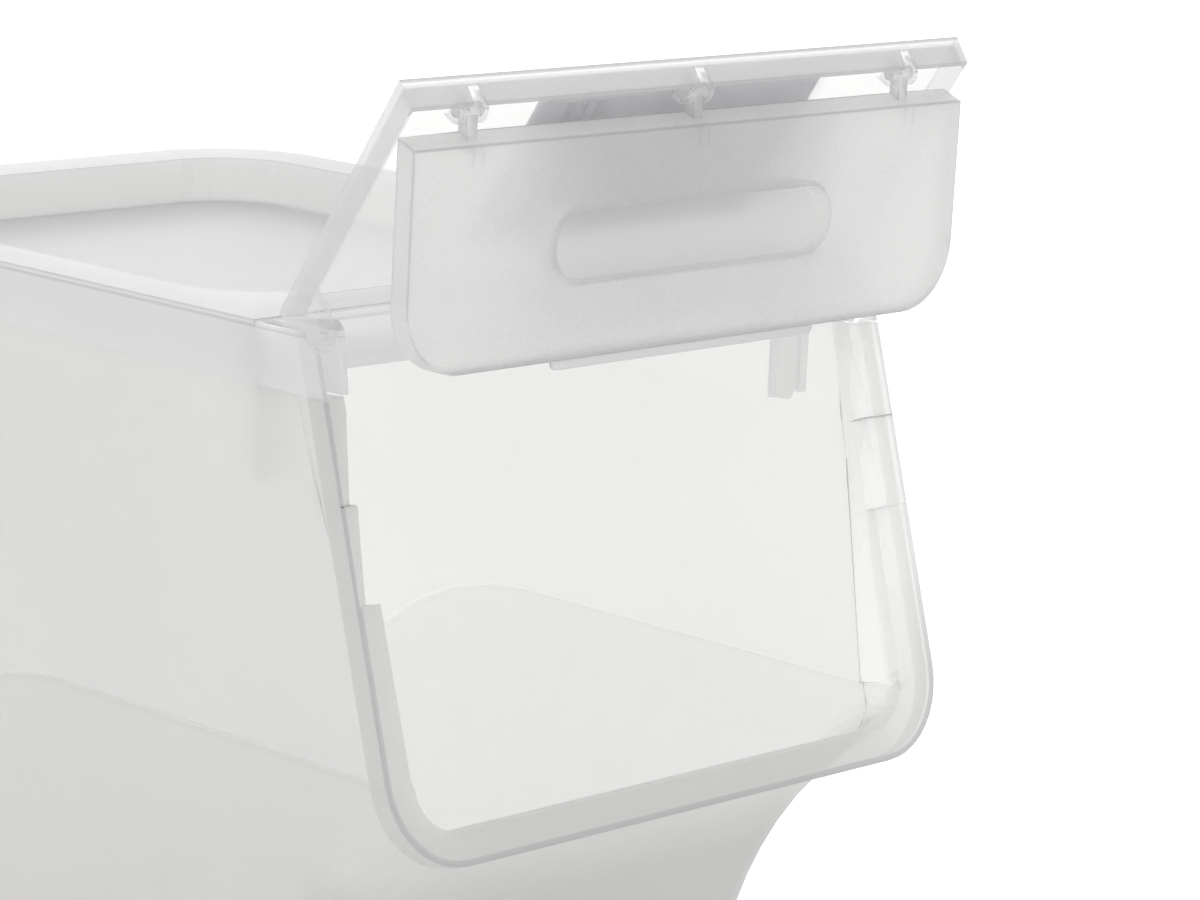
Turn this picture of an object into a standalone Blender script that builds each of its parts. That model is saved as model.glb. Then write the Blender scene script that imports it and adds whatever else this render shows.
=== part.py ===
"""Stackable storage bin with a two-part folding front flap.

Frame: metres, +Z up.  The origin is the centre of the foot's underside, the mouth faces -Y
and the bin is symmetrical about the plane x = 0.  The flaps are modelled open.
"""

import math

import bmesh
import bpy

# ---- overall sizes -------------------------------------------------------------------
WIDTH = 0.384
DEPTH = 0.565
HEIGHT = 0.450
WALL = 0.0025
RIM_WALL = 0.0022
FIT_GAP = 0.0005          # clearance between moulded parts that touch in use
RUN_GAP = 0.0010          # clearance between parts that move past each other
JOIN_LAP = 0.0010         # how far two shapes run into each other where they are joined
CUT_PAST = 0.0100         # how far a cutter runs past what it cuts

# ---- mouth: a slanted opening with a turned-back frame -------------------------------
MOUTH_HEIGHT = 0.2445     # from the lip's underside to the top of the cover
MOUTH_SLOPE = 0.290       # how far the mouth leans back for each metre of height
FRAME_LIP = 0.012         # depth of the turned-back outer lip
FRAME_CORNER = 0.044      # outer radius of the two lower corners
FRAME_DISH = 0.0055       # how far the flange's inner edge lies behind its outer edge
REVEAL_DEPTH = 0.0262     # depth at which the frame meets the side wall
REVEAL_LAP = 0.0017       # overlap of the reveal and the wall
FLUSH = 0.0003            # the reveal's end stays this far inside the wall's two faces
LIP_FLANGE = 0.0165       # flange width along the lower lip
FRAME_EDGE = 0.0008       # bevel on the frame's outer edge
POST_BACK = 0.0270        # post tops end this far behind the hinge axis
# flange width up the posts: (height along the slope, width); close heights make a ledge
POST_FLANGE = [(0.0381, 0.0222), (0.0389, 0.0206), (0.1270, 0.0194), (0.1278, 0.0100),
               (0.1735, 0.0150), (0.1743, 0.0100), (0.2170, 0.0173)]
TRAY_DEPTH = 0.0145       # the ledges end this far in, where the reveal runs smoothly on
TRAY_FLANGE = [(0.0381, 0.0230), (0.1270, 0.0170), (0.1735, 0.0140), (0.2170, 0.0150)]

# ---- body ----------------------------------------------------------------------------
SIDE_INSET_TOP = 0.0032   # side wall from the overall half width, at the top
SIDE_INSET_CLIP = 0.0082  # the same beside the clips
SIDE_INSET_BELLY = 0.0289
SIDE_INSET_BASE = 0.0350
BACK_DRAFT = 0.0268       # how far the back wall leans in towards the base
CLIP_REACH = 0.0785       # clip's length below the top of the cover
BELLY_RISE = 0.0310       # the belly's upper edge above the lip's underside
BELLY_STEP = 0.0020       # how far the belly stands out from the side walls
BELLY_SINK = 0.0008       # and how far it lies inside them at the base
BELLY_STRAIGHT = 0.280    # the belly's edge runs level to here, from the front
BELLY_RADIUS = 0.180      # and then turns down towards the back
SWEEP_RADIUS = 0.215      # concave front wall under the mouth
SWEEP_FOOT = 0.100        # where that wall is upright, from the front
SWEEP_DROP = 0.165        # and how far below the lip's underside
FRONT_CORNER = 0.040
BACK_CORNER = 0.057
BASE_EDGE = 0.005
STACK_STAND = 0.0010      # the foot holds the floor this far above the rim below
STACK_GAP_SIDE = 0.0080   # clearance of the foot in the recess below
STACK_GAP_FRONT = 0.0030
STACK_GAP_BACK = 0.0085
STACK_GAP_CORNER = 0.0100
FOOT_EDGE = 0.003

# ---- cover ---------------------------------------------------------------------------
STACK_DEPTH = 0.026       # recess that takes the foot of the bin above
RECESS_INSET = 0.032      # recess wall from the overall half width
RECESS_FRONT = 0.160
RECESS_BACK = 0.034
RECESS_CORNER = 0.045
COVER_CORNER = 0.060
COVER_SEAT = 0.0003       # gap between the cover and the tub's edge
SKIRT_DEPTH = 0.0304
SKIRT_STEP = 0.0005       # the skirt stands back from the rim's edge
RIM_THICK = 0.0025
APRON_BACK = 0.112        # the apron slopes down from here to the hinge line
APRON_FRONT = 0.079
APRON_DROP = 0.0150
APRON_LIP = 0.0060
CHEEK_SETBACK = 0.0006    # bracket's front edge behind the line of the mouth
CHEEK_CORNER_DROP = 0.010
CHEEK_CORNER_RUN = 0.012
CLIP_FRONT = 0.0999
CLIP_WIDTH = 0.0219
CLIP_DEPTH = 0.0060
CLIP_NOTCH = 0.0060
ARM_CLEAR = 0.0240        # radius kept free round the hinge axis

# ---- flaps ---------------------------------------------------------------------------
HINGE_DROP = 0.0033       # hinge axis below the top of the cover
FACE_OFFSET = 0.0210      # upper flap's outer face from the hinge axis
FLAP_RIM = 0.0135         # depth of the upper flap's rim
SEAT_GAP = 0.0008         # closed flap's rim to the frame
UPPER_LENGTH = 0.136      # hinge axis to the upper flap's free edge
UPPER_START = 0.006
HEEL_RUN = 0.0050         # rounded heel of the side rims, past the hinge edge
HEEL_START = 0.0015
HEEL_NOSE = 0.0030
HEEL_DROP = 0.0040
UPPER_INSET = 0.0010      # flap's edge from the overall half width
LOWER_INSET = 0.0043
LIP_COVER = 0.0105        # closed lower flap stops this far above the lip's underside
EDGE_SLANT = 0.42         # both meeting edges lean by this much over their depth
FOLD_EDGE = 0.0137        # fold axis to the upper flap's free edge
FOLD_MARGIN = 0.0152      # fold axis to the lower flap's top edge
FOLD_DEPTH = 0.0085       # fold axis behind both outer faces
LOWER_RIM = 0.0115
LOWER_CORNER = 0.034
OPEN_TILT = 33.3          # degrees that the open upper flap leans forward
HANG_TILT = 1.05          # degrees that the lower flap leans back where it hangs
HINGE_PIN = 0.0030
KNUCKLE = 0.0075
ARM_OUTER = 0.0205
ARM_TOP = 0.0140
ARM_SWEEP = 30.0
PIN_BORE_GAP = 0.0003
EAR_INNER = 0.0185        # bracket's inner face from the overall half width
EAR_THICK = 0.0040
EAR_SETBACK = 0.0030      # bracket's foot behind the cheek's front edge
PIN_END = 0.0200
BARREL = 0.0035
BARREL_LENGTH = 0.0150
BARREL_GAP = 0.0003
STEM = 0.0060
STEM_NECK = 0.0028        # half the stem's depth at the barrel
STEM_ROOT = 0.0040        # its reach to the front at the flange
LUG_RADIUS = 0.0064
LUG_THICK = 0.0030
LUG_OFFSET = 0.0045       # lug's near face from the middle of its barrel
STATION_INSET = 0.044     # outer fold joints from the overall half width
GUSSET_HEIGHT = 0.009
GUSSET_THICK = 0.0018
HANDLE_HALF = 0.095
HANDLE_HEIGHT = 0.033
HANDLE_DROP = 0.067       # fold axis to the middle of the handle
HANDLE_DEPTH_TOP = 0.0135
HANDLE_DEPTH_LOW = 0.0060
TAB_HALF = 0.0905
TAB_REACH = 0.0055
TAB_SETBACK = 0.0040
TAB_CORNER = 0.004
LABEL_LEFT = -0.092
LABEL_RIGHT = 0.102
LABEL_HEIGHT = 0.090
LABEL_MARGIN = 0.018
LABEL_THICK = 0.0003
LABEL_GAP = 0.0003

# ---- values worked out from the sizes above -------------------------------------------
HALF = WIDTH / 2
FOOT_HEIGHT = STACK_DEPTH + STACK_STAND
FOOT_INSET = RECESS_INSET + STACK_GAP_SIDE
FOOT_FRONT = RECESS_FRONT + STACK_GAP_FRONT
FOOT_BACK = RECESS_BACK + STACK_GAP_BACK
FOOT_CORNER = RECESS_CORNER - STACK_GAP_CORNER
FRONT = -(FOOT_FRONT + DEPTH - FOOT_BACK) / 2
BACK = FRONT + DEPTH
LIP = HEIGHT - MOUTH_HEIGHT
SLANT = math.atan(MOUTH_SLOPE)
SWEEP_Y = FRONT + SWEEP_FOOT - SWEEP_RADIUS
SWEEP_Z = LIP - SWEEP_DROP
SWEEP_TOP = SWEEP_Z + 0.93 * SWEEP_RADIUS
BODY_TOP = HEIGHT - RIM_THICK - COVER_SEAT
BELLY_Z = LIP + BELLY_RISE
POST_TOP_DROP = SKIRT_DEPTH + FIT_GAP
POST_TOP = (MOUTH_HEIGHT - POST_TOP_DROP + REVEAL_DEPTH * math.sin(SLANT)) / math.cos(SLANT)
RIM_BEHIND = FACE_OFFSET - FLAP_RIM - SEAT_GAP
HINGE_Z = HEIGHT - HINGE_DROP
HINGE_Y = FRONT + MOUTH_SLOPE * (HINGE_Z - LIP) + RIM_BEHIND / math.cos(SLANT)
FOLD_UP = UPPER_LENGTH - FOLD_EDGE
FOLD_OUT = FACE_OFFSET - FOLD_DEPTH
HINGE_RISE = (HINGE_Z - LIP) * math.cos(SLANT) + (HINGE_Y - FRONT) * math.sin(SLANT)
LOWER_END = HINGE_RISE - LIP_COVER - FOLD_UP
STATIONS = [-(HALF - STATION_INSET), 0.0, HALF - STATION_INSET]
ARC_STEPS = 8


# ---- mesh helpers ----------------------------------------------------------------------
def new_object(name, mesh_builder):
    """Make a mesh object with consistent outward faces."""
    mesh_builder.normal_update()
    bmesh.ops.recalc_face_normals(mesh_builder, faces=mesh_builder.faces)
    mesh = bpy.data.meshes.new(name)
    mesh_builder.to_mesh(mesh)
    mesh_builder.free()
    shape = bpy.data.objects.new(name, mesh)
    bpy.context.scene.collection.objects.link(shape)
    return shape


def loft(name, rings):
    """Skin rings that have equal point counts, with a cap at each end."""
    builder = bmesh.new()
    loops = [[builder.verts.new(point) for point in ring] for ring in rings]
    for low, high in zip(loops, loops[1:]):
        count = len(low)
        for index in range(count):
            after = (index + 1) % count
            builder.faces.new((low[index], low[after], high[after], high[index]))
    builder.faces.new(reversed(loops[0]))
    builder.faces.new(loops[-1])
    return new_object(name, builder)


def prism_x(name, outline, low, high):
    """Extrude a (y, z) outline along X."""
    return loft(name, [[(x, y, z) for y, z in outline] for x in (low, high)])


def prism_y(name, outline, low, high):
    """Extrude an (x, z) outline along Y."""
    return loft(name, [[(x, y, z) for x, z in outline] for y in (low, high)])


def prism_z(name, outline, low, high):
    """Extrude an (x, y) outline along Z."""
    return loft(name, [[(x, y, z) for x, y in outline] for z in (low, high)])


def box(name, x_range, y_range, z_range):
    """Make a box between two values on each axis."""
    corners = [(x_range[0], y_range[0]), (x_range[1], y_range[0]),
               (x_range[1], y_range[1]), (x_range[0], y_range[1])]
    return prism_z(name, corners, z_range[0], z_range[1])


def arc(centre, radius, start, end, steps=ARC_STEPS):
    """Points on an arc from one angle to another, in degrees."""
    points = []
    for step in range(steps + 1):
        angle = math.radians(start + (end - start) * step / steps)
        points.append((centre[0] + radius * math.cos(angle), centre[1] + radius * math.sin(angle)))
    return points


def rounded_outline(half, low, high, low_radius, high_radius, steps=ARC_STEPS):
    """Rounded rectangle about x = 0, with one radius for the low corners and one for the high."""
    points = arc((half - low_radius, low + low_radius), low_radius, -90, 0, steps)
    points += arc((half - high_radius, high - high_radius), high_radius, 0, 90, steps)
    points += arc((high_radius - half, high - high_radius), high_radius, 90, 180, steps)
    points += arc((low_radius - half, low + low_radius), low_radius, 180, 270, steps)
    return points


def rod_x(name, radius, low, high, centre=(0.0, 0.0), steps=20):
    """Make a round bar along X."""
    circle = arc(centre, radius, 0, 360 - 360 / steps, steps - 1)
    return prism_x(name, circle, low, high)


def combine(target, others, operation="UNION"):
    """Apply one exact Boolean after another to target and remove the other shapes."""
    for other in others:
        modifier = target.modifiers.new("combine", "BOOLEAN")
        modifier.operation = operation
        modifier.solver = "EXACT"
        modifier.object = other
        depsgraph = bpy.context.evaluated_depsgraph_get()
        result = bpy.data.meshes.new_from_object(target.evaluated_get(depsgraph))
        target.modifiers.clear()
        used = target.data
        target.data = result
        bpy.data.meshes.remove(used)
        bpy.data.objects.remove(other)
    return target


def both_sides(make, name, low, high, *values):
    """Make a shape between two x distances on the right, and its mirror twin on the left."""
    return [make(name, *values, low, high), make(name, *values, -high, -low)]


def interpolate(table, value):
    """Read a value from a table of (key, value) pairs, straight between its entries."""
    if value <= table[0][0]:
        return table[0][1]
    for (key_a, value_a), (key_b, value_b) in zip(table, table[1:]):
        if value <= key_b:
            return value_a + (value_b - value_a) * (value - key_a) / (key_b - key_a)
    return table[-1][1]


def finish(shape, name, colour, roughness, alpha=1.0):
    """Name a shape, shade it and give it a plastic material of its own."""
    shape.name = name
    shape.data.name = name
    shape.data.shade_smooth()
    shape.data.set_sharp_from_angle(angle=math.radians(28))
    material = bpy.data.materials.new(name)
    material.use_nodes = True
    surface = material.node_tree.nodes["Principled BSDF"]
    surface.inputs["Base Color"].default_value = (*colour, 1.0)
    surface.inputs["Roughness"].default_value = roughness
    surface.inputs["Metallic"].default_value = 0.0
    surface.inputs["Alpha"].default_value = alpha
    shape.data.materials.clear()
    shape.data.materials.append(material)
    return shape


# ---- body ----------------------------------------------------------------------------
SIDE_PROFILE = [(FOOT_HEIGHT, HALF - SIDE_INSET_BASE),
                (BELLY_Z, HALF - SIDE_INSET_BELLY),
                (HEIGHT - CLIP_REACH, HALF - SIDE_INSET_CLIP),
                (BODY_TOP, HALF - SIDE_INSET_TOP)]
BACK_PROFILE = [(FOOT_HEIGHT, BACK - SIDE_INSET_TOP - BACK_DRAFT),
                (BODY_TOP, BACK - SIDE_INSET_TOP)]


def front_wall(z, grow):
    """y of the front wall: a concave sweep that runs out in front of the mouth."""
    rise = min(max(z - SWEEP_Z, 0.0), SWEEP_TOP - SWEEP_Z)
    return SWEEP_Y + math.sqrt((SWEEP_RADIUS - grow) ** 2 - rise ** 2)


def plan(z, grow):
    """Plan outline of the body at one height, moved outwards by grow."""
    half = interpolate(SIDE_PROFILE, z) + grow
    back = interpolate(BACK_PROFILE, z) + grow
    return rounded_outline(half, front_wall(z, grow), back, FRONT_CORNER + grow, BACK_CORNER + grow)


def inside_plan(x, y, z, grow):
    """Whether a point near the front is inside the body's outer skin."""
    half = interpolate(SIDE_PROFILE, z) + grow
    front = front_wall(z, grow)
    radius = FRONT_CORNER + grow
    across = abs(x) - (half - radius)
    along = (front + radius) - y
    if across <= 0 or along <= 0:
        return abs(x) <= half and y >= front
    return math.hypot(across, along) <= radius


def body_levels(top):
    """Heights of the body's rings, close together on the concave sweep."""
    sweep = [SWEEP_Z + (SWEEP_TOP - SWEEP_Z) * step / 12 for step in range(13)]
    levels = sweep + [BELLY_Z, HEIGHT - CLIP_REACH, top]
    return sorted({round(z, 5) for z in levels if z > FOOT_HEIGHT + BASE_EDGE + JOIN_LAP})


def body_block(name, grow, floor, top):
    """Solid body block: rounded lower edge, then the rings up to the top."""
    rings = []
    for step in range(4):
        angle = math.radians(30 * step)
        z = floor + BASE_EDGE * (1 - math.cos(angle))
        inset = BASE_EDGE * (1 - math.sin(angle))
        rings.append([(x, y, z) for x, y in plan(z, grow - inset)])
    for z in body_levels(top):
        rings.append([(x, y, z) for x, y in plan(z, grow)])
    return loft(name, rings)


def belly_outline():
    """Side view of the belly: level at the front, turning down in an arc to the back."""
    turn_y = FRONT + BELLY_STRAIGHT
    turn_z = BELLY_Z - BELLY_RADIUS
    points = [(FRONT - DEPTH, -HEIGHT), (FRONT - DEPTH, BELLY_Z)]
    points += arc((turn_y, turn_z), BELLY_RADIUS, 90, 0, 16)
    points.append((turn_y + BELLY_RADIUS, -HEIGHT))
    return points


def belly_block(name, grow):
    """Slightly wider body block that fades out at the base, cut to the belly's outline."""
    rings = []
    low = FOOT_HEIGHT + BASE_EDGE
    for z in [low] + body_levels(BELLY_Z + BELLY_STEP):
        fade = min((z - low) / (BELLY_Z - low), 1.0)
        step = (BELLY_STEP + BELLY_SINK) * fade - BELLY_SINK
        rings.append([(x, y, z) for x, y in plan(z, grow + step)])
    block = loft(name, rings)
    return combine(block, [prism_x("side", belly_outline(), -WIDTH, WIDTH)], "INTERSECT")


def foot_block(name, inset, low, high):
    """Foot that sits in the recess of the bin below."""
    rings = []
    for z, edge in ((low, FOOT_EDGE), (low + FOOT_EDGE, 0.0), (high, 0.0)):
        outline = rounded_outline(HALF - FOOT_INSET - inset - edge,
                                  FRONT + FOOT_FRONT + inset + edge,
                                  BACK - FOOT_BACK - inset - edge,
                                  FOOT_CORNER - inset - edge, FOOT_CORNER - inset - edge)
        rings.append([(x, y, z) for x, y in outline])
    return loft(name, rings)


def mouth_point(x, rise, depth):
    """World point from the mouth's own coordinates: across, up the slope, and inwards."""
    return (x,
            FRONT + rise * math.sin(SLANT) + depth * math.cos(SLANT),
            LIP + rise * math.cos(SLANT) - depth * math.sin(SLANT))


def wall_inset(edge, normal):
    """Distance from the frame's outer edge to the body's wall, along the inward normal."""
    low, high = 0.0, HALF
    for _ in range(40):
        middle = (low + high) / 2
        point = mouth_point(edge[0] + normal[0] * middle, edge[1] + normal[1] * middle,
                            REVEAL_DEPTH)
        grow = BELLY_STEP if point[2] < BELLY_Z else 0.0
        if inside_plan(*point, grow):
            high = middle
        else:
            low = middle
    return high


def frame_stations():
    """Half of the U-shaped path from the top down.

    Each entry holds ((x, rise), inward normal, flange width, width where the ledges end)."""
    rises = {POST_TOP, FRAME_CORNER}
    rises |= {rise for rise, _ in POST_FLANGE if FRAME_CORNER < rise < POST_TOP}
    rises |= {FRAME_CORNER + (POST_TOP - FRAME_CORNER) * step / 10 for step in range(1, 10)}
    stations = []
    for rise in sorted(rises, reverse=True):
        stations.append(((HALF, rise), (-1.0, 0.0), interpolate(POST_FLANGE, rise),
                         interpolate(TRAY_FLANGE, rise)))
    corner_width = POST_FLANGE[0][1]
    corner_tray = TRAY_FLANGE[0][1]
    for step in range(1, 11):
        angle = math.radians(9 * step)
        share = step / 10
        edge = (HALF - FRAME_CORNER * (1 - math.cos(angle)), FRAME_CORNER * (1 - math.sin(angle)))
        width = corner_width + (LIP_FLANGE - corner_width) * share
        tray = corner_tray + (LIP_FLANGE - corner_width) * share
        stations.append((edge, (-math.cos(angle), math.sin(angle)), width, tray))
    return stations


def frame_ring():
    """U-shaped frame: turned-back lip, dished flange, and a reveal that meets the wall."""
    half_path = frame_stations()
    mirrored = [((-edge[0], edge[1]), (-normal[0], normal[1]), width, tray)
                for edge, normal, width, tray in reversed(half_path)]
    rings = []
    for edge, normal, width, tray in half_path + mirrored:
        wall = wall_inset(edge, normal)
        section = [(0.0, FRAME_EDGE), (FRAME_EDGE, 0.0), (width, FRAME_DISH),
                   (tray, TRAY_DEPTH), (wall + WALL - FLUSH, REVEAL_DEPTH),
                   (wall + FLUSH, REVEAL_DEPTH), (tray - WALL, TRAY_DEPTH),
                   (width - WALL * 0.9, FRAME_DISH + WALL), (WALL, WALL + FRAME_EDGE),
                   (WALL, FRAME_LIP), (0.0, FRAME_LIP)]
        rings.append([mouth_point(edge[0] + normal[0] * inward, edge[1] + normal[1] * inward, depth)
                      for inward, depth in section])
    return loft("frame", rings)


def build_body():
    """Open-fronted tub with its frame, belly and stacking foot."""
    body = body_block("body", 0.0, FOOT_HEIGHT, BODY_TOP)
    combine(body, [belly_block("belly", 0.0),
                   foot_block("foot", 0.0, 0.0, FOOT_HEIGHT + WALL / 2)])
    floor = FOOT_HEIGHT + WALL
    hollow = body_block("hollow", -WALL, floor, BODY_TOP + CUT_PAST)
    combine(hollow, [belly_block("belly_hollow", -WALL),
                     foot_block("foot_hollow", WALL, WALL, floor + JOIN_LAP)])
    combine(body, [hollow], "DIFFERENCE")
    cut_depth = REVEAL_DEPTH - REVEAL_LAP
    low = mouth_point(0.0, -HEIGHT, cut_depth)
    high = mouth_point(0.0, HEIGHT, cut_depth)
    ahead = FRONT - HEIGHT
    mouth = prism_x("mouth", [(low[1], low[2]), (ahead, low[2]), (ahead, high[2]),
                              (high[1], high[2])], -WIDTH, WIDTH)
    combine(body, [mouth], "DIFFERENCE")
    combine(body, [frame_ring()])
    notch = box("notch", (-WIDTH, WIDTH), (FRONT - WIDTH, HINGE_Y + POST_BACK),
                (HEIGHT - POST_TOP_DROP, HEIGHT + CUT_PAST))
    combine(body, [notch], "DIFFERENCE")
    return finish(body, "bin_body", (0.83, 0.84, 0.84), 0.45)


# ---- cover ---------------------------------------------------------------------------
def build_cover():
    """Snap-on cover: rim, skirt, stacking recess, apron, clips and hinge brackets."""
    rim_front = FRONT + APRON_BACK
    outer = rounded_outline(HALF, rim_front, BACK, SKIRT_STEP, COVER_CORNER)
    cover = prism_z("cover", outer, HEIGHT - RIM_THICK, HEIGHT)

    skirt_half = HALF - SKIRT_STEP
    skirt_back = BACK - SKIRT_STEP
    skirt_low = HEIGHT - SKIRT_DEPTH
    corner = COVER_CORNER - SKIRT_STEP
    skirt = prism_z("skirt", rounded_outline(skirt_half, rim_front, skirt_back, SKIRT_STEP, corner),
                    skirt_low, HEIGHT - RIM_THICK / 2)
    inner = rounded_outline(skirt_half - RIM_WALL, rim_front - CUT_PAST, skirt_back - RIM_WALL,
                            SKIRT_STEP, corner - RIM_WALL)
    combine(skirt, [prism_z("skirt_inner", inner, skirt_low - CUT_PAST, HEIGHT)], "DIFFERENCE")

    recess_half = HALF - RECESS_INSET
    recess_front = FRONT + RECESS_FRONT
    recess_back = BACK - RECESS_BACK
    floor = HEIGHT - STACK_DEPTH
    pan = prism_z("pan", rounded_outline(recess_half + WALL, recess_front - WALL,
                                         recess_back + WALL, RECESS_CORNER + WALL,
                                         RECESS_CORNER + WALL), floor - WALL,
                  HEIGHT - RIM_THICK / 2)
    recess = prism_z("recess", rounded_outline(recess_half, recess_front, recess_back,
                                               RECESS_CORNER, RECESS_CORNER),
                     floor, HEIGHT + CUT_PAST)
    combine(cover, [skirt, pan])
    combine(cover, [recess], "DIFFERENCE")

    ear_inner = HALF - EAR_INNER
    ear_outer = ear_inner + EAR_THICK
    apron_front = FRONT + APRON_FRONT
    apron_low = HEIGHT - APRON_DROP
    apron = prism_x("apron", [(rim_front + JOIN_LAP, HEIGHT), (apron_front, apron_low),
                              (apron_front, apron_low - APRON_LIP),
                              (apron_front + WALL, apron_low - APRON_LIP),
                              (apron_front + WALL, apron_low - WALL),
                              (rim_front + JOIN_LAP, HEIGHT - WALL)],
                    -ear_inner - JOIN_LAP, ear_inner + JOIN_LAP)
    combine(cover, [apron])

    # Hinge brackets: a plate beside each knuckle, and a cheek that carries the skirt forward.
    cheek_outer = HALF - SKIRT_STEP
    cheek_inner = cheek_outer - RIM_WALL
    lean = MOUTH_SLOPE
    plate_low = HEIGHT - POST_TOP_DROP + RUN_GAP
    setback = FRONT + CHEEK_SETBACK
    front_high = setback + lean * (MOUTH_HEIGHT - CHEEK_CORNER_DROP)
    ear = [(rim_front + JOIN_LAP, plate_low), (rim_front + JOIN_LAP, HEIGHT - JOIN_LAP)]
    ear += arc((HINGE_Y, HINGE_Z), KNUCKLE, 75, 190, 10)
    ear += [(setback + lean * (plate_low - LIP) + EAR_SETBACK, plate_low)]
    cheek = [(rim_front + JOIN_LAP, skirt_low), (rim_front + JOIN_LAP, HEIGHT - RIM_THICK / 2),
             (front_high + CHEEK_CORNER_RUN, HEIGHT - RIM_THICK / 2),
             (front_high, HEIGHT - CHEEK_CORNER_DROP),
             (setback + lean * (skirt_low - LIP), skirt_low)]
    for side in (-1, 1):
        ends = sorted((side * ear_inner, side * ear_outer))
        combine(cover, [prism_x("ear", ear, *ends)])
        ends = sorted((side * cheek_inner, side * cheek_outer))
        combine(cover, [prism_x("cheek", cheek, *ends)])
    reach = HINGE_PIN + PIN_BORE_GAP
    combine(cover, [rod_x("bore", reach, -HALF + SKIRT_STEP + RIM_WALL,
                          HALF - SKIRT_STEP - RIM_WALL, (HINGE_Y, HINGE_Z))], "DIFFERENCE")

    clip_outer = HALF - SIDE_INSET_CLIP - WALL - FIT_GAP
    clip_low = HEIGHT - CLIP_REACH
    clip_y = FRONT + CLIP_FRONT
    clip_face = [(clip_y, HEIGHT - JOIN_LAP), (clip_y, clip_low + CLIP_NOTCH),
                 (clip_y + CLIP_WIDTH / 3, clip_low + CLIP_NOTCH),
                 (clip_y + CLIP_WIDTH / 2, clip_low), (clip_y + CLIP_WIDTH, clip_low),
                 (clip_y + CLIP_WIDTH, HEIGHT - JOIN_LAP)]
    for side in (-1, 1):
        ends = sorted((side * (clip_outer - RIM_WALL), side * clip_outer))
        plate = prism_x("clip", clip_face, *ends)
        flanges = sorted((side * (clip_outer - CLIP_DEPTH), side * clip_outer))
        for low in (clip_y, clip_y + CLIP_WIDTH - RIM_WALL):
            foot = clip_low + (CLIP_NOTCH if low == clip_y else 0.0)
            combine(plate, [box("clip_side", flanges, (low, low + RIM_WALL),
                                (foot, HEIGHT - JOIN_LAP))])
        combine(cover, [plate])
    # The rim leaves the knuckles free.
    free_back = HINGE_Y + ARM_CLEAR
    for side in (-1, 1):
        ends = sorted((side * ear_outer, side * cheek_inner))
        combine(cover, [box("free", ends, (FRONT - WIDTH, free_back),
                            (HEIGHT - SKIRT_DEPTH - CUT_PAST, HEIGHT + CUT_PAST))], "DIFFERENCE")
    return finish(cover, "top_cover", (0.80, 0.81, 0.83), 0.35)


# ---- upper flap: built upright from its hinge axis, outer face towards +Y ---------------
def build_upper_flap():
    """Clear upper flap with a rim, hinge knuckles and the fold lugs."""
    half = HALF - UPPER_INSET
    rim_in = FACE_OFFSET - FLAP_RIM
    panel_in = FACE_OFFSET - WALL
    tip = UPPER_LENGTH - EDGE_SLANT * FLAP_RIM
    flap = box("panel", (-half, half), (panel_in, FACE_OFFSET),
               (UPPER_START, UPPER_LENGTH - RIM_WALL / 2))
    edge = prism_x("free_edge", [(FACE_OFFSET, UPPER_LENGTH), (rim_in, tip),
                                 (rim_in, tip - RIM_WALL), (FACE_OFFSET, UPPER_LENGTH - RIM_WALL)],
                   -half, half)
    hinge_edge = box("hinge_edge", (-half, half), (rim_in, FACE_OFFSET),
                     (UPPER_START, UPPER_START + RIM_WALL))
    # The side rims run past the hinge edge in a rounded heel.
    side_face = [(rim_in, tip), (rim_in, UPPER_START), (rim_in + HEEL_RUN, HEEL_START),
                 (FACE_OFFSET - HEEL_NOSE, -HEEL_DROP),
                 (FACE_OFFSET - FRAME_EDGE, -0.75 * HEEL_DROP),
                 (FACE_OFFSET, 0.0), (FACE_OFFSET, UPPER_LENGTH)]
    sides = both_sides(lambda name, low, high: prism_x(name, side_face, low, high),
                       "side", half - RIM_WALL, half)
    combine(flap, [edge, hinge_edge] + sides)

    arm_inner = HALF - EAR_INNER + EAR_THICK + RUN_GAP
    arm_outer = HALF - SKIRT_STEP - RIM_WALL - RUN_GAP
    arm = [(rim_in, ARM_TOP), (ARM_OUTER, ARM_TOP)]
    arm += arc((0.0, 0.0), ARM_OUTER, 0, -ARM_SWEEP, 5)
    arm += arc((0.0, 0.0), KNUCKLE, -70, -255, 14)
    arms = both_sides(lambda name, low, high: prism_x(name, arm, low, high),
                      "arm", arm_inner, arm_outer)
    pins = both_sides(lambda name, low, high: rod_x(name, HINGE_PIN, low, high),
                      "pin", HALF - PIN_END, arm_inner + 2 * JOIN_LAP)
    combine(flap, arms + pins)

    root = panel_in + JOIN_LAP
    lug = [(root, FOLD_UP + LUG_RADIUS), (root, FOLD_UP - LUG_RADIUS)]
    lug += arc((FOLD_OUT, FOLD_UP), LUG_RADIUS, -90, -270, 10)
    stem_room = STEM / 2 + RUN_GAP
    for station in STATIONS:
        lugs = []
        for side in (-1, 1):
            ends = sorted((station + side * LUG_OFFSET, station + side * (LUG_OFFSET + LUG_THICK)))
            lugs.append(prism_x("lug", lug, *ends))
        combine(flap, lugs)
        bore_reach = BARREL_LENGTH / 2 + RUN_GAP
        combine(flap, [rod_x("lug_bore", BARREL + BARREL_GAP, station - bore_reach,
                             station + bore_reach, (FOLD_OUT, FOLD_UP)),
                       box("stem_notch", (station - stem_room, station + stem_room),
                           (rim_in - CUT_PAST, FOLD_OUT + BARREL + RUN_GAP),
                           (FOLD_UP, UPPER_LENGTH + CUT_PAST))], "DIFFERENCE")
    return finish(flap, "upper_flap", (0.86, 0.87, 0.87), 0.12, 0.45)


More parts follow.
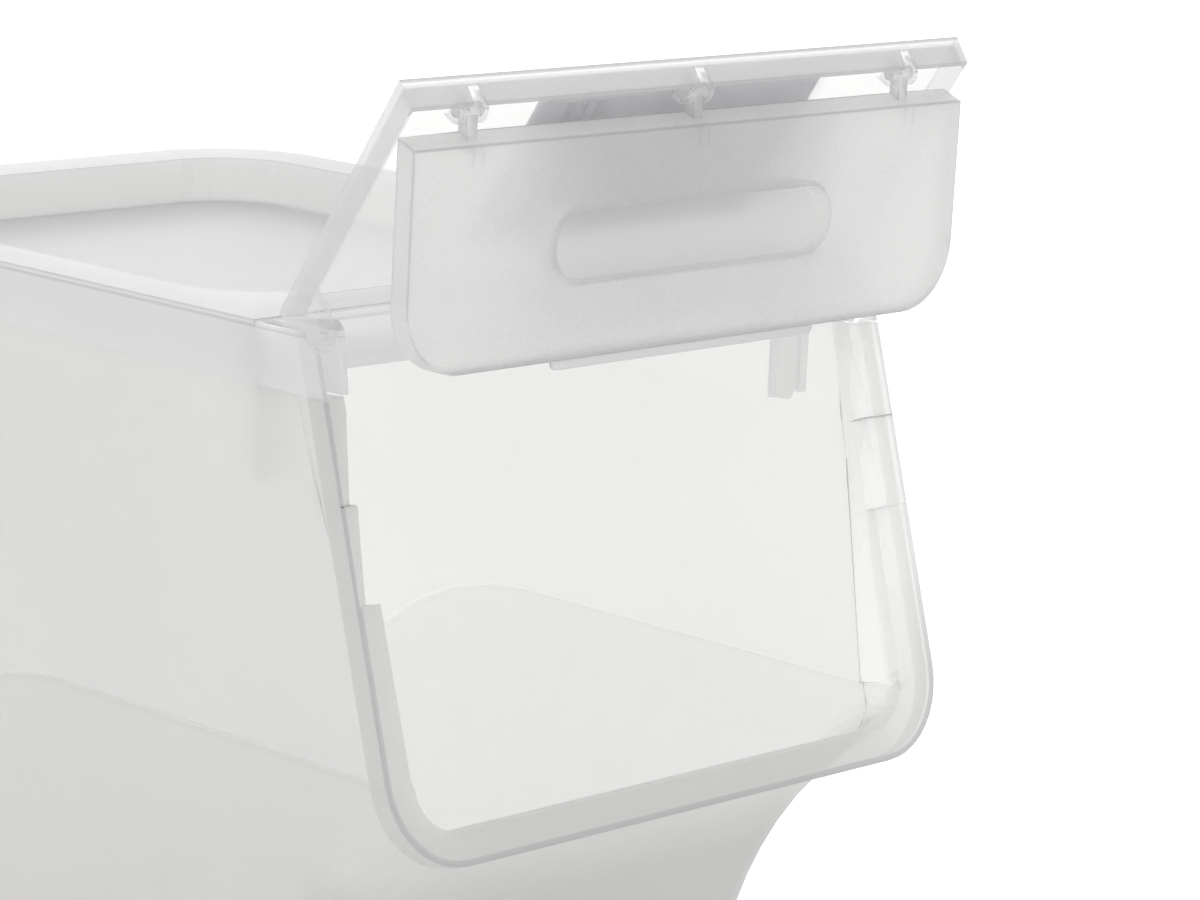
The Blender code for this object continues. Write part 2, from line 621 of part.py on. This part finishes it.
# ---- lower flap: built hanging from its fold axis, outer face towards -Y ----------------
def lower_outline(inset, top):
    """Outline of the lower flap, with large lower corners."""
    half = HALF - LOWER_INSET - inset
    low = -LOWER_END + inset
    radius = LOWER_CORNER - inset
    points = arc((half - radius, low + radius), radius, -90, 0, 10)
    points += [(half, top), (-half, top)]
    points += arc((radius - half, low + radius), radius, 180, 270, 10)
    return points


def obround(half_length, half_height, middle):
    """Outline of a slot with round ends."""
    points = arc((half_length - half_height, middle), half_height, -90, 90, 12)
    points += arc((half_height - half_length, middle), half_height, 90, 270, 12)
    return points


def handle_pocket(name, margin, start, extra):
    """Pocket solid whose floor slopes from shallow at the bottom to deep at the top."""
    outline = obround(HANDLE_HALF + margin, HANDLE_HEIGHT / 2 + margin, -HANDLE_DROP)
    face = -FOLD_DEPTH
    slope = (HANDLE_DEPTH_TOP - HANDLE_DEPTH_LOW) / HANDLE_HEIGHT
    middle_depth = (HANDLE_DEPTH_TOP + HANDLE_DEPTH_LOW) / 2 + extra
    floor = [(x, face + middle_depth + slope * (z + HANDLE_DROP), z) for x, z in outline]
    return loft(name, [[(x, start, z) for x, z in outline], floor])


def build_lower_flap():
    """Frosted lower flap with a rim, a handle pocket, fold barrels and a bottom tab."""
    face = -FOLD_DEPTH
    rim_back = face + LOWER_RIM
    tip = -FOLD_MARGIN + EDGE_SLANT * LOWER_RIM
    flap = prism_y("tray", lower_outline(0.0, tip), face, rim_back)
    cavity = prism_y("cavity", lower_outline(RIM_WALL, tip + CUT_PAST), face + WALL,
                     rim_back + CUT_PAST)
    half = HALF - LOWER_INSET
    lean = EDGE_SLANT * CUT_PAST
    above = prism_x("above", [(face - CUT_PAST, -FOLD_MARGIN - lean),
                              (rim_back + CUT_PAST, tip + lean),
                              (rim_back + CUT_PAST, FOLD_MARGIN),
                              (face - CUT_PAST, FOLD_MARGIN)], -WIDTH, WIDTH)
    combine(flap, [cavity, above], "DIFFERENCE")
    flange = prism_x("flange", [(face, -FOLD_MARGIN), (face, -FOLD_MARGIN - RIM_WALL),
                                (rim_back, tip - RIM_WALL), (rim_back, tip)], -half, half)
    combine(flap, [flange, handle_pocket("pocket", RIM_WALL, face + WALL / 2, RIM_WALL)])
    combine(flap, [handle_pocket("grip", 0.0, face - CUT_PAST, 0.0)], "DIFFERENCE")

    for station in STATIONS:
        stem = prism_x("stem", [(-STEM_NECK, 0.0), (STEM_NECK, 0.0),
                                (STEM_NECK, tip - RIM_WALL / 2),
                                (-STEM_ROOT, -FOLD_MARGIN + FLUSH)],
                       station - STEM / 2, station + STEM / 2)
        barrel = rod_x("barrel", BARREL, station - BARREL_LENGTH / 2, station + BARREL_LENGTH / 2)
        gussets = []
        for side in (-1, 1):
            centre = station + side * STEM / 2
            profile = [(face + WALL / 2, -FOLD_MARGIN - RIM_WALL / 2),
                       (rim_back - JOIN_LAP, tip - RIM_WALL / 2),
                       (face + WALL / 2, -FOLD_MARGIN - GUSSET_HEIGHT)]
            gussets.append(prism_x("gusset", profile, centre - GUSSET_THICK / 2,
                                   centre + GUSSET_THICK / 2))
        combine(flap, [stem, barrel] + gussets)

    low = -LOWER_END - TAB_REACH
    tab_outline = arc((TAB_HALF - TAB_CORNER, low + TAB_CORNER), TAB_CORNER, -90, 0, 5)
    tab_outline += [(TAB_HALF, -LOWER_END + RIM_WALL / 2), (-TAB_HALF, -LOWER_END + RIM_WALL / 2)]
    tab_outline += arc((TAB_CORNER - TAB_HALF, low + TAB_CORNER), TAB_CORNER, 180, 270, 5)
    tab = prism_y("tab", tab_outline, face + TAB_SETBACK, face + TAB_SETBACK + RIM_WALL)
    combine(flap, [tab])
    return finish(flap, "lower_flap", (0.76, 0.77, 0.77), 0.55, 0.8)


def build_label():
    """Plain printed label on the upper flap's outer face."""
    low = UPPER_LENGTH - LABEL_MARGIN - LABEL_HEIGHT
    label = box("label", (LABEL_LEFT, LABEL_RIGHT),
                (FACE_OFFSET + LABEL_GAP, FACE_OFFSET + LABEL_GAP + LABEL_THICK),
                (low, low + LABEL_HEIGHT))
    return finish(label, "label_sticker", (0.55, 0.56, 0.60), 0.5)


# ---- assembly --------------------------------------------------------------------------
def clear_scene():
    """Remove whatever the scene starts with."""
    for item in list(bpy.data.objects):
        bpy.data.objects.remove(item, do_unlink=True)


def build():
    """Build every piece and hang the flaps on their joint axes."""
    clear_scene()
    build_body()
    build_cover()
    upper = build_upper_flap()
    upper.location = (0.0, HINGE_Y, HINGE_Z)
    upper.rotation_euler = (math.radians(OPEN_TILT), 0.0, 0.0)
    lower = build_lower_flap()
    lower.parent = upper
    lower.location = (0.0, FOLD_OUT, FOLD_UP)
    lower.rotation_euler = (math.radians(HANG_TILT - OPEN_TILT), 0.0, 0.0)
    label = build_label()
    label.parent = upper
    bpy.context.view_layer.update()


build()
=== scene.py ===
"""Looks for the stackable storage bin with a folding front flap."""
import math

import bmesh
import bpy
from mathutils import Matrix, Vector

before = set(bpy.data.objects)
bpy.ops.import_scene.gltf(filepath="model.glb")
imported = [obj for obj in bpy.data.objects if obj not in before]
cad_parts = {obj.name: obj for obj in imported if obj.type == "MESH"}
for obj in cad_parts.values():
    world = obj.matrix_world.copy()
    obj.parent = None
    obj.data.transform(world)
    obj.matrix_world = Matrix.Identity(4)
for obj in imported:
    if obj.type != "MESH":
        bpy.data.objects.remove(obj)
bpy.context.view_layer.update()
scene = bpy.context.scene

# ---- camera: position, direction and lens at the photographed angle ---------------------
CAMERA_AT = (-1.5005, -1.7315, 0.8071)
YAW, PITCH, ROLL = math.radians(45.76), math.radians(11.726), math.radians(2.399)
LENS = 130.82
SENSOR = 36.0
VIEW_REACH = 60.0         # furthest distance that the camera sees


def make_camera():
    """Camera on the bin's front left, a little above it."""
    data = bpy.data.cameras.new("camera")
    data.lens = LENS
    data.sensor_width = SENSOR
    data.sensor_fit = "HORIZONTAL"
    data.clip_end = VIEW_REACH
    camera = bpy.data.objects.new("camera", data)
    scene.collection.objects.link(camera)
    forward = Vector((math.sin(YAW) * math.cos(PITCH), math.cos(YAW) * math.cos(PITCH),
                      -math.sin(PITCH)))
    level = Vector((math.cos(YAW), -math.sin(YAW), 0.0))
    upright = level.cross(forward)
    right = math.cos(ROLL) * level + math.sin(ROLL) * upright
    up = -math.sin(ROLL) * level + math.cos(ROLL) * upright
    turn = Matrix((right, up, -forward)).transposed().to_4x4()
    camera.matrix_world = Matrix.Translation(CAMERA_AT) @ turn
    scene.camera = camera


# ---- materials ---------------------------------------------------------------------------
def node(tree, kind, **values):
    """Add a shader node and set its sockets by name."""
    made = tree.nodes.new(kind)
    for key, value in values.items():
        made.inputs[key.replace("_", " ")].default_value = value
    return made


BELLY_TURN = (-0.06275, 0.0565)         # centre of the belly's rounded outline, (y, z)
STRIPE_TURNS = (1500.0, 620.0)          # two waves whose sum gives uneven stripes, radians per metre


def math_node(tree, operation, first, second=None):
    """Add a math node on one or two sockets or numbers and return its result."""
    made = tree.nodes.new("ShaderNodeMath")
    made.operation = operation
    for slot, value in enumerate((first, second)):
        if value is None:
            continue
        if isinstance(value, (int, float)):
            made.inputs[slot].default_value = value
        else:
            tree.links.new(value, made.inputs[slot])
    return made.outputs["Value"]


def band(tree, place, across, start, end):
    """Rises from 0 to 1 as the distance along a direction goes from start to end. The
    direction is a vector, "x" for the distance from the middle plane, "belly" for the distance
    from the centre of the belly's rounded outline, or "bars" for uneven upright stripes."""
    if across == "belly":
        split = tree.nodes.new("ShaderNodeSeparateXYZ")
        tree.links.new(place, split.inputs["Vector"])
        back = math_node(tree, "SUBTRACT", split.outputs["Y"], BELLY_TURN[0])
        back = math_node(tree, "MAXIMUM", back, 0.0)
        rise = math_node(tree, "SUBTRACT", split.outputs["Z"], BELLY_TURN[1])
        rise = math_node(tree, "MAXIMUM", rise, 0.0)
        squares = math_node(tree, "ADD", math_node(tree, "MULTIPLY", back, back),
                            math_node(tree, "MULTIPLY", rise, rise))
        distance = math_node(tree, "SQRT", squares)
    elif across == "bars":
        split = tree.nodes.new("ShaderNodeSeparateXYZ")
        tree.links.new(place, split.inputs["Vector"])
        waves = [math_node(tree, "SINE", math_node(tree, "MULTIPLY", split.outputs["X"], turns))
                 for turns in STRIPE_TURNS]
        distance = math_node(tree, "ADD", *waves)
    elif across == "x":
        split = tree.nodes.new("ShaderNodeSeparateXYZ")
        tree.links.new(place, split.inputs["Vector"])
        distance = math_node(tree, "ABSOLUTE", split.outputs["X"])
    else:
        dot = tree.nodes.new("ShaderNodeVectorMath")
        dot.operation = "DOT_PRODUCT"
        dot.inputs[1].default_value = across
        tree.links.new(place, dot.inputs[0])
        distance = dot.outputs["Value"]
    return spread(tree, distance, start, end)


def strongest_mark(tree, place, marks):
    """The strongest of several marks, which say where the moulding is thicker or seen along its
    wall, where print is, where shade is painted on and where light is painted on. Each mark is a
    share and the bands that bound it."""
    total = None
    for amount, bands in marks:
        value = amount
        for across, start, end in bands:
            value = math_node(tree, "MULTIPLY", band(tree, place, across, start, end), value)
        total = value if total is None else math_node(tree, "MAXIMUM", total, value)
    return total


def mix(tree, share, first, second, kind="RGBA"):
    """Blend two values or sockets by a share and return the result."""
    made = tree.nodes.new("ShaderNodeMix")
    made.data_type = kind
    for slot, value in (("Factor", share), ("A", first), ("B", second)):
        if isinstance(value, (float, tuple)):
            made.inputs[slot].default_value = value
        else:
            tree.links.new(value, made.inputs[slot])
    return made.outputs["Result"]


def spread(tree, value, low, high, start=0.0, end=1.0):
    """Stretch a socket's range from low and high to start and end."""
    made = tree.nodes.new("ShaderNodeMapRange")
    made.inputs["From Min"].default_value = low
    made.inputs["From Max"].default_value = high
    made.inputs["To Min"].default_value = start
    made.inputs["To Max"].default_value = end
    tree.links.new(value, made.inputs["Value"])
    return made.outputs["Result"]


FLOW_SHARE = 0.35                       # how much of the mottling follows the flow of plastic
MOTTLE_RANGE = (0.35, 0.65)             # noise values between which the tone changes
SPECKLE_RANGE = (0.42, 0.62)            # noise values between which frosting sets in
MOTTLE_SCALE = 9.0
SHINE = 0.5
# Near white that painted light blends the colour towards.
PAINTED_LIGHT_WHITE = (1.0, 1.0, 0.995, 1.0)
WINDOW_TINT = (0.985, 0.985, 0.982, 1.0)
BLUR_SHARE = 0.8                        # share of the straight light that a frosted wall smears


def plastic(name, colour, dark, clear, edge_clear, rough, grain_scale, grain_depth, through,
            marks, thick_print_and_shade_colour, coat=0.0, speckle=0.0, pale=(), blur=None):
    """Milky moulded plastic: it scatters light, lets some straight through, and shines.

    clear is the share that goes straight through head on, edge_clear the same at a glancing
    angle, and through is the share of scattered light that comes from the far side. marks say
    where the plastic is thicker or seen along its wall, where print is, and where shade is painted
    on, and the given mark colour is the colour there. pale says where light is painted on, making it
    brighter.
    blur is the roughness that smears what is seen through it."""
    material = bpy.data.materials.new(name)
    material.use_nodes = True
    tree = material.node_tree
    tree.nodes.clear()
    link = tree.links.new
    place = tree.nodes.new("ShaderNodeTexCoord").outputs["Object"]
    cloud = node(tree, "ShaderNodeTexNoise", Scale=MOTTLE_SCALE, Detail=3.0, Roughness=0.55)
    flow = node(tree, "ShaderNodeTexNoise", Scale=MOTTLE_SCALE * 5, Detail=2.0, Roughness=0.5,
                Distortion=1.2)
    grain = node(tree, "ShaderNodeTexNoise", Scale=grain_scale, Detail=2.0, Roughness=0.6)
    for texture in (cloud, flow, grain):
        link(place, texture.inputs["Vector"])
    blend = mix(tree, FLOW_SHARE, cloud.outputs["Fac"], flow.outputs["Fac"], "FLOAT")
    patches = spread(tree, blend, *MOTTLE_RANGE)
    colours = mix(tree, patches, (*colour, 1.0), (*dark, 1.0))
    if speckle:
        sand = node(tree, "ShaderNodeTexNoise", Scale=grain_scale * 0.8, Detail=1.0)
        link(place, sand.inputs["Vector"])
        sharp = spread(tree, sand.outputs["Fac"], *SPECKLE_RANGE, 0.0, speckle)
        colours = mix(tree, sharp, colours, (1.0, 1.0, 1.0, 1.0))
    # Darkens the colour where the moulding is thicker, where print is, and where shade is painted
    # on; the same marks hold back the straight light.
    thick_print_and_shade = strongest_mark(tree, place, marks)
    colours = mix(tree, thick_print_and_shade, colours, (*thick_print_and_shade_colour, 1.0))
    # Painted light: the pale marks blend the colour towards near white.
    if pale:
        colours = mix(tree, strongest_mark(tree, place, pale), colours, PAINTED_LIGHT_WHITE)
    gloss = spread(tree, flow.outputs["Fac"], 0.0, 1.0, rough - 0.05, rough + 0.07)
    bump = node(tree, "ShaderNodeBump", Strength=1.0, Distance=grain_depth)
    link(grain.outputs["Fac"], bump.inputs["Height"])
    body = node(tree, "ShaderNodeBsdfPrincipled", IOR=1.49)
    body.inputs["Specular IOR Level"].default_value = SHINE
    body.inputs["Coat Weight"].default_value = coat
    body.inputs["Coat Roughness"].default_value = 0.08
    link(colours, body.inputs["Base Color"])
    link(gloss, body.inputs["Roughness"])
    link(bump.outputs["Normal"], body.inputs["Normal"])
    glow = tree.nodes.new("ShaderNodeBsdfTranslucent")
    link(colours, glow.inputs["Color"])
    link(bump.outputs["Normal"], glow.inputs["Normal"])
    scatter = tree.nodes.new("ShaderNodeMixShader")
    scatter.inputs["Fac"].default_value = through
    link(body.outputs["BSDF"], scatter.inputs[1])
    link(glow.outputs["BSDF"], scatter.inputs[2])
    window = node(tree, "ShaderNodeBsdfTransparent", Color=WINDOW_TINT).outputs["BSDF"]
    if blur is not None:
        smear = node(tree, "ShaderNodeBsdfRefraction", Color=WINDOW_TINT, Roughness=blur, IOR=1.25)
        both = tree.nodes.new("ShaderNodeMixShader")
        both.inputs["Fac"].default_value = BLUR_SHARE
        link(window, both.inputs[1])
        link(smear.outputs["BSDF"], both.inputs[2])
        window = both.outputs["Shader"]
    facing = node(tree, "ShaderNodeLayerWeight", Blend=0.5)
    share = spread(tree, facing.outputs["Facing"], 0.0, 1.0, 1.0 - clear, 1.0 - edge_clear)
    surface = tree.nodes.new("ShaderNodeMixShader")
    link(math_node(tree, "MAXIMUM", share, thick_print_and_shade), surface.inputs["Fac"])
    link(window, surface.inputs[1])
    link(scatter.outputs["Shader"], surface.inputs[2])
    out = tree.nodes.new("ShaderNodeOutputMaterial")
    link(surface.outputs["Shader"], out.inputs["Surface"])
    return material


# Directions in the row frame at rest: inwards from the slanted mouth, out of and up the open
# upper flap, into and up the hanging lower flap.
MOUTH_IN = (0.0, 0.9604, -0.2785)
UPPER_OUT = (0.0, 0.8358, 0.5490)
UPPER_UP = (0.0, -0.5490, 0.8358)
LOWER_IN = (0.0, 0.99983, 0.018325)
LOWER_UP = (0.0, -0.018325, 0.99983)
HEIGHT_UP = (0.0, 0.0, 1.0)
MOUTH_AT = -0.38641
UPPER_OUT_AT = 0.02306
UPPER_UP_AT = 0.51929
LOWER_IN_AT = -0.31228
LOWER_UP_AT = 0.56160

ACROSS = (1.0, 0.0, 0.0)
BACKWARDS = (0.0, 1.0, 0.0)


def line(direction, at, start, end, fade):
    """A narrow strip across a direction, from start to end past a place, with faded sides."""
    return [(direction, at + start, at + start + fade), (direction, at + end + fade, at + end)]


# Stretches of the mouldings, each a list of bands that bound it.
# The frame flange by the mouth. In the body's look its marks are painted shade: the frame is darker
# where less light falls.
MOUTH_FLANGE = [(MOUTH_IN, MOUTH_AT + 0.0125, MOUTH_AT + 0.0110)]
MOUTH_EDGE = [(MOUTH_IN, MOUTH_AT + 0.0010, MOUTH_AT + 0.0007)]
SIDE_SKIN = [("x", 0.1908, 0.1914)]
# Painted shade: the belly below its rounded outline is darker, where less light reaches the lower
# wall.
BELLY_SHADE = [("belly", 0.1803, 0.1790)]
# Painted shadow: a soft dark band just under the small ledge along the belly's outline.
BELLY_LEDGE_SHADOW = [("belly", 0.1750, 0.1775), ("belly", 0.1797, 0.1791)]
# Painted highlight: a pale line along the belly ledge, away from the mouth.
BELLY_RIM_HIGHLIGHT = [("belly", 0.1796, 0.1800), ("belly", 0.1822, 0.1816),
             (MOUTH_IN, MOUTH_AT + 0.0250, MOUTH_AT + 0.0270)]
# Painted shade: the low front of the body is darker, where less light reaches it.
LOW_FRONT_SHADE = [(HEIGHT_UP, 0.205, 0.150), (BACKWARDS, -0.225, -0.250)]
# Painted light: the right-hand post of the frame is brighter, standing in for more light on that
# side.
FAR_POST_LIGHT = [(ACROSS, 0.1600, 0.1660), (HEIGHT_UP, 0.240, 0.300), *MOUTH_FLANGE]

COVER_BEAD = line(HEIGHT_UP, 0.0, 0.4460, 0.4470, 0.0004)
# Painted shade: the cover's top face is darker, holding back the light that falls on it.
COVER_TOP_SHADE = [(HEIGHT_UP, 0.4494, 0.4498)]
# Painted shade: the recess floor is darker.
RECESS_FLOOR_SHADE = [(HEIGHT_UP, 0.4200, 0.4204), (HEIGHT_UP, 0.4255, 0.4245), ("x", 0.1610, 0.1590)]
# Painted light: the recess walls are brighter.
RECESS_WALL_LIGHT = [(HEIGHT_UP, 0.4250, 0.4270), (HEIGHT_UP, 0.4494, 0.4480),
               ("x", 0.1680, 0.1650), (BACKWARDS, -0.205, -0.195)]
COVER_SHOULDER = [(HEIGHT_UP, 0.4488, 0.4492), ("x", 0.1905, 0.1912)]
# Painted light: the cover's outer skirt is brighter.
COVER_SKIRT_LIGHT = [(HEIGHT_UP, 0.4462, 0.4458), ("x", 0.1870, 0.1880)]
# Painted light: the cover's hanging clips are brighter.
COVER_CLIPS_LIGHT = [(HEIGHT_UP, 0.4185, 0.4170)]
COVER_SIDE = [("x", 0.1885, 0.1890)]
COVER_LIP = [(MOUTH_IN, MOUTH_AT + 0.0125, MOUTH_AT + 0.0115), *COVER_SIDE]
COVER_LIP_EDGE = [(MOUTH_IN, MOUTH_AT + 0.0014, MOUTH_AT + 0.0010), *COVER_SIDE]

UPPER_RIM = [(UPPER_OUT, UPPER_OUT_AT + 0.0186, UPPER_OUT_AT + 0.0178)]
UPPER_FREE_RIM = [*UPPER_RIM, (UPPER_UP, UPPER_UP_AT + 0.1265, UPPER_UP_AT + 0.1285)]
UPPER_FREE_EDGE = [(UPPER_UP, UPPER_UP_AT + 0.1348, UPPER_UP_AT + 0.1354)]
UPPER_FREE_ROOT = [(UPPER_OUT, UPPER_OUT_AT + 0.0085, UPPER_OUT_AT + 0.0080),
                   (UPPER_UP, UPPER_UP_AT + 0.1255, UPPER_UP_AT + 0.1265)]
UPPER_SIDE = [("x", 0.1902, 0.1906)]

LOWER_FACE_EDGE = (LOWER_IN, LOWER_IN_AT - 0.0072, LOWER_IN_AT - 0.0078)
LOWER_RIM = [(LOWER_IN, LOWER_IN_AT - 0.0056, LOWER_IN_AT - 0.0050)]
LOWER_TOP_EDGE = [(LOWER_UP, LOWER_UP_AT - 0.0164, LOWER_UP_AT - 0.0159), LOWER_FACE_EDGE]
LOWER_BOTTOM_EDGE = [(LOWER_UP, LOWER_UP_AT - 0.1194, LOWER_UP_AT - 0.1199),
                     (LOWER_UP, LOWER_UP_AT - 0.1216, LOWER_UP_AT - 0.1212)]
LOWER_SIDE = [("x", 0.1870, 0.1874)]
LOWER_SIDE_EDGE = [("x", 0.1870, 0.1873), LOWER_FACE_EDGE]
# Painted light: the handle pocket's floor is brighter, lifting the shade it sits in.
POCKET_LIGHT = [(LOWER_IN, LOWER_IN_AT - 0.0065, LOWER_IN_AT - 0.0055), ("x", 0.0955, 0.0945),
          (LOWER_UP, LOWER_UP_AT - 0.0845, LOWER_UP_AT - 0.0835),
          (LOWER_UP, LOWER_UP_AT - 0.0495, LOWER_UP_AT - 0.0505)]
GUSSET_LOW = [(LOWER_UP, LOWER_UP_AT - 0.0265, LOWER_UP_AT - 0.0235), LOWER_FACE_EDGE]
GUSSETS = [0.0020, 0.1440, 0.1500]      # where each gusset under a fold barrel starts
GUSSET_WIDE = 0.0018

LABEL_STRIPES = [("bars", 0.1, 0.5), (ACROSS, -0.0755, -0.0750), (ACROSS, -0.0400, -0.0405),
                 (UPPER_UP, UPPER_UP_AT + 0.1130, UPPER_UP_AT + 0.1125)]
LABEL_RULE = line(ACROSS, 0.0, 0.0440, 0.0448, 0.0002)

LOOKS = {
    "bin_body": dict(colour=(0.955, 0.95, 0.945), dark=(0.94, 0.936, 0.932), clear=0.38,
                     edge_clear=0.10, rough=0.42, grain_scale=900.0, grain_depth=0.00004,
                     through=0.58, thick_print_and_shade_colour=(0.62, 0.625, 0.625),
                     # Painted shade: the frame flange marks darken the body's frame.
                     marks=[(0.20, MOUTH_FLANGE), (0.30, MOUTH_FLANGE + SIDE_SKIN),
                            # Painted shade: the belly and low front marks darken the lower body.
                            (0.85, MOUTH_EDGE), (0.12, BELLY_SHADE), (0.42, LOW_FRONT_SHADE),
                            # Painted shadow: the band under the belly ledge.
                            (0.20, BELLY_LEDGE_SHADOW)],
                     # Painted light on the far post, and a painted highlight along the belly rim.
                     pale=[(0.60, FAR_POST_LIGHT), (0.6, BELLY_RIM_HIGHLIGHT)]),
    "top_cover": dict(colour=(0.94, 0.941, 0.947), dark=(0.93, 0.932, 0.94), clear=0.36,
                      edge_clear=0.10, rough=0.34, grain_scale=700.0, grain_depth=0.00003,
                      through=0.5, thick_print_and_shade_colour=(0.60, 0.61, 0.62),
                      # Painted shade: the cover top and recess floor marks.
                      marks=[(0.45, COVER_BEAD), (0.60, COVER_TOP_SHADE), (0.55, RECESS_FLOOR_SHADE),
                             (0.45, COVER_SHOULDER), (0.25, COVER_LIP),
                             (0.80, COVER_LIP_EDGE)],
                      # Painted light on the clips, the skirt and the recess walls.
                      pale=[(0.5, COVER_CLIPS_LIGHT), (0.35, COVER_SKIRT_LIGHT), (0.9, RECESS_WALL_LIGHT)]),
    "upper_flap": dict(colour=(0.945, 0.945, 0.942), dark=(0.93, 0.93, 0.93), clear=0.90,
                       edge_clear=0.25, rough=0.14, grain_scale=300.0, grain_depth=0.00001,
                       through=0.4, coat=0.5, thick_print_and_shade_colour=(0.58, 0.585, 0.59),
                       marks=[(0.12, UPPER_RIM), (0.55, UPPER_FREE_RIM),
                              (0.80, UPPER_FREE_EDGE), (0.80, UPPER_FREE_ROOT),
                              (0.60, UPPER_SIDE)]),
    "lower_flap": dict(colour=(0.94, 0.94, 0.935), dark=(0.91, 0.91, 0.91), clear=0.60,
                       edge_clear=0.18, rough=0.40, grain_scale=1100.0, grain_depth=0.00014,
                       through=0.5, speckle=0.8, blur=0.30, thick_print_and_shade_colour=(0.60, 0.605, 0.605),
                       marks=[(0.08, LOWER_RIM), (0.65, LOWER_TOP_EDGE),
                              (0.70, LOWER_BOTTOM_EDGE), (0.10, LOWER_SIDE),
                              (0.60, LOWER_SIDE_EDGE)]
                       + [(0.28, GUSSET_LOW + line("x", start, 0.0, GUSSET_WIDE, 0.0002))
                          for start in GUSSETS],
                       # Painted light on the handle pocket's floor.
                       pale=[(0.7, POCKET_LIGHT)]),
    "label_sticker": dict(colour=(0.70, 0.705, 0.755), dark=(0.64, 0.645, 0.70), clear=0.0,
                          edge_clear=0.0, rough=0.5, grain_scale=1200.0, grain_depth=0.00002,
                          through=0.3, thick_print_and_shade_colour=(0.36, 0.36, 0.40),
                          marks=[(0.90, LABEL_STRIPES), (0.20, LABEL_RULE)]),
}


EDGE_ROUND = {"bin_body": 0.0005, "top_cover": 0.0005, "upper_flap": 0.0004,
              "lower_flap": 0.0005}
SAME_POINT = 0.00002      # points closer than this are one
SHARP_EDGE = math.radians(32)


def dress(shape, material):
    """Give every face of a shape one material."""
    shape.data.materials.clear()
    shape.data.materials.append(material)


def soften(shape, width):
    """Round a moulding's sharp edges, as a mould does."""
    weld = shape.modifiers.new("weld", "WELD")
    weld.merge_threshold = SAME_POINT
    bevel = shape.modifiers.new("bevel", "BEVEL")
    bevel.width = width
    bevel.segments = 2
    bevel.limit_method = "ANGLE"
    bevel.angle_limit = SHARP_EDGE
    bevel.use_clamp_overlap = False
    bevel.harden_normals = True


def dress_nodes():
    """Plastic looks for the CAD nodes."""
    for name, look in LOOKS.items():
        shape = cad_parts[name]
        dress(shape, plastic(name + "_look", **look))
        if name in EDGE_ROUND:
            soften(shape, EDGE_ROUND[name])


# ---- studio ------------------------------------------------------------------------------
FLOOR_HALF = 30.0
FLOOR_CELLS = 24
FLOOR_DROP = 0.0005       # keeps the floor just under the foot
FLOOR_GLOW = 0.5          # lifts the floor to white, for the camera only
WHITE = (1.0, 1.0, 1.0, 1.0)
SKY_STRENGTH = 0.81
SUN_POWER, SUN_SPREAD, SUN_WAY = 1.12, math.radians(80), (-0.62, -0.42, -0.62)
LIGHT_AIM = (0.0, -0.1, 0.3)
SOFTBOXES = [("key", (-1.7, 0.4, 2.0), (1.2, 1.2), 3.0),
             ("back", (0.9, 2.0, 1.5), (1.6, 1.0), 9.0)]


def make_floor():
    """Large pale floor."""
    mesh = bmesh.new()
    bmesh.ops.create_grid(mesh, x_segments=FLOOR_CELLS, y_segments=FLOOR_CELLS,
                          size=FLOOR_HALF)
    data = bpy.data.meshes.new("floor")
    mesh.to_mesh(data)
    mesh.free()
    floor = bpy.data.objects.new("floor", data)
    floor.location = (0.0, 0.0, -FLOOR_DROP)
    scene.collection.objects.link(floor)
    material = bpy.data.materials.new("floor_paint")
    material.use_nodes = True
    tree = material.node_tree
    surface = tree.nodes["Principled BSDF"]
    surface.inputs["Roughness"].default_value = 0.75
    surface.inputs["Specular IOR Level"].default_value = 0.2
    surface.inputs["Emission Color"].default_value = WHITE
    seen = tree.nodes.new("ShaderNodeLightPath")
    glow = math_node(tree, "MULTIPLY", seen.outputs["Is Camera Ray"], FLOOR_GLOW)
    tree.links.new(glow, surface.inputs["Emission Strength"])
    noise = node(tree, "ShaderNodeTexNoise", Scale=3.0, Detail=4.0)
    place = tree.nodes.new("ShaderNodeTexCoord")
    tree.links.new(place.outputs["Object"], noise.inputs["Vector"])
    tone = mix(tree, noise.outputs["Fac"], (0.82, 0.82, 0.815, 1.0), (0.79, 0.79, 0.785, 1.0))
    tree.links.new(tone, surface.inputs["Base Color"])
    data.materials.append(material)


def area_light(name, place, size, power):
    """Softbox at a place, turned towards the bin."""
    data = bpy.data.lights.new(name, "AREA")
    data.shape = "RECTANGLE"
    data.size, data.size_y = size
    data.energy = power
    lamp = bpy.data.objects.new(name, data)
    lamp.location = place
    lamp.rotation_euler = (Vector(LIGHT_AIM) - Vector(place)).to_track_quat("-Z", "Y").to_euler()
    scene.collection.objects.link(lamp)


def make_studio():
    """White surroundings, with softboxes that give the plastic its highlights."""
    world = bpy.data.worlds.new("studio")
    world.use_nodes = True
    sky = world.node_tree.nodes["Background"]
    sky.inputs["Color"].default_value = WHITE
    sky.inputs["Strength"].default_value = SKY_STRENGTH
    scene.world = world
    make_floor()
    sun = bpy.data.lights.new("soft_sun", "SUN")
    sun.energy = SUN_POWER
    sun.angle = SUN_SPREAD
    lamp = bpy.data.objects.new("soft_sun", sun)
    lamp.rotation_euler = Vector(SUN_WAY).to_track_quat("-Z", "Y").to_euler()
    scene.collection.objects.link(lamp)
    for name, place, size, power in SOFTBOXES:
        area_light(name, place, size, power)
    scene.cycles.transparent_max_bounces = 24
    scene.cycles.diffuse_bounces = 6
    scene.view_settings.view_transform = "Standard"
    scene.view_settings.look = "None"


make_camera()
dress_nodes()
make_studio()
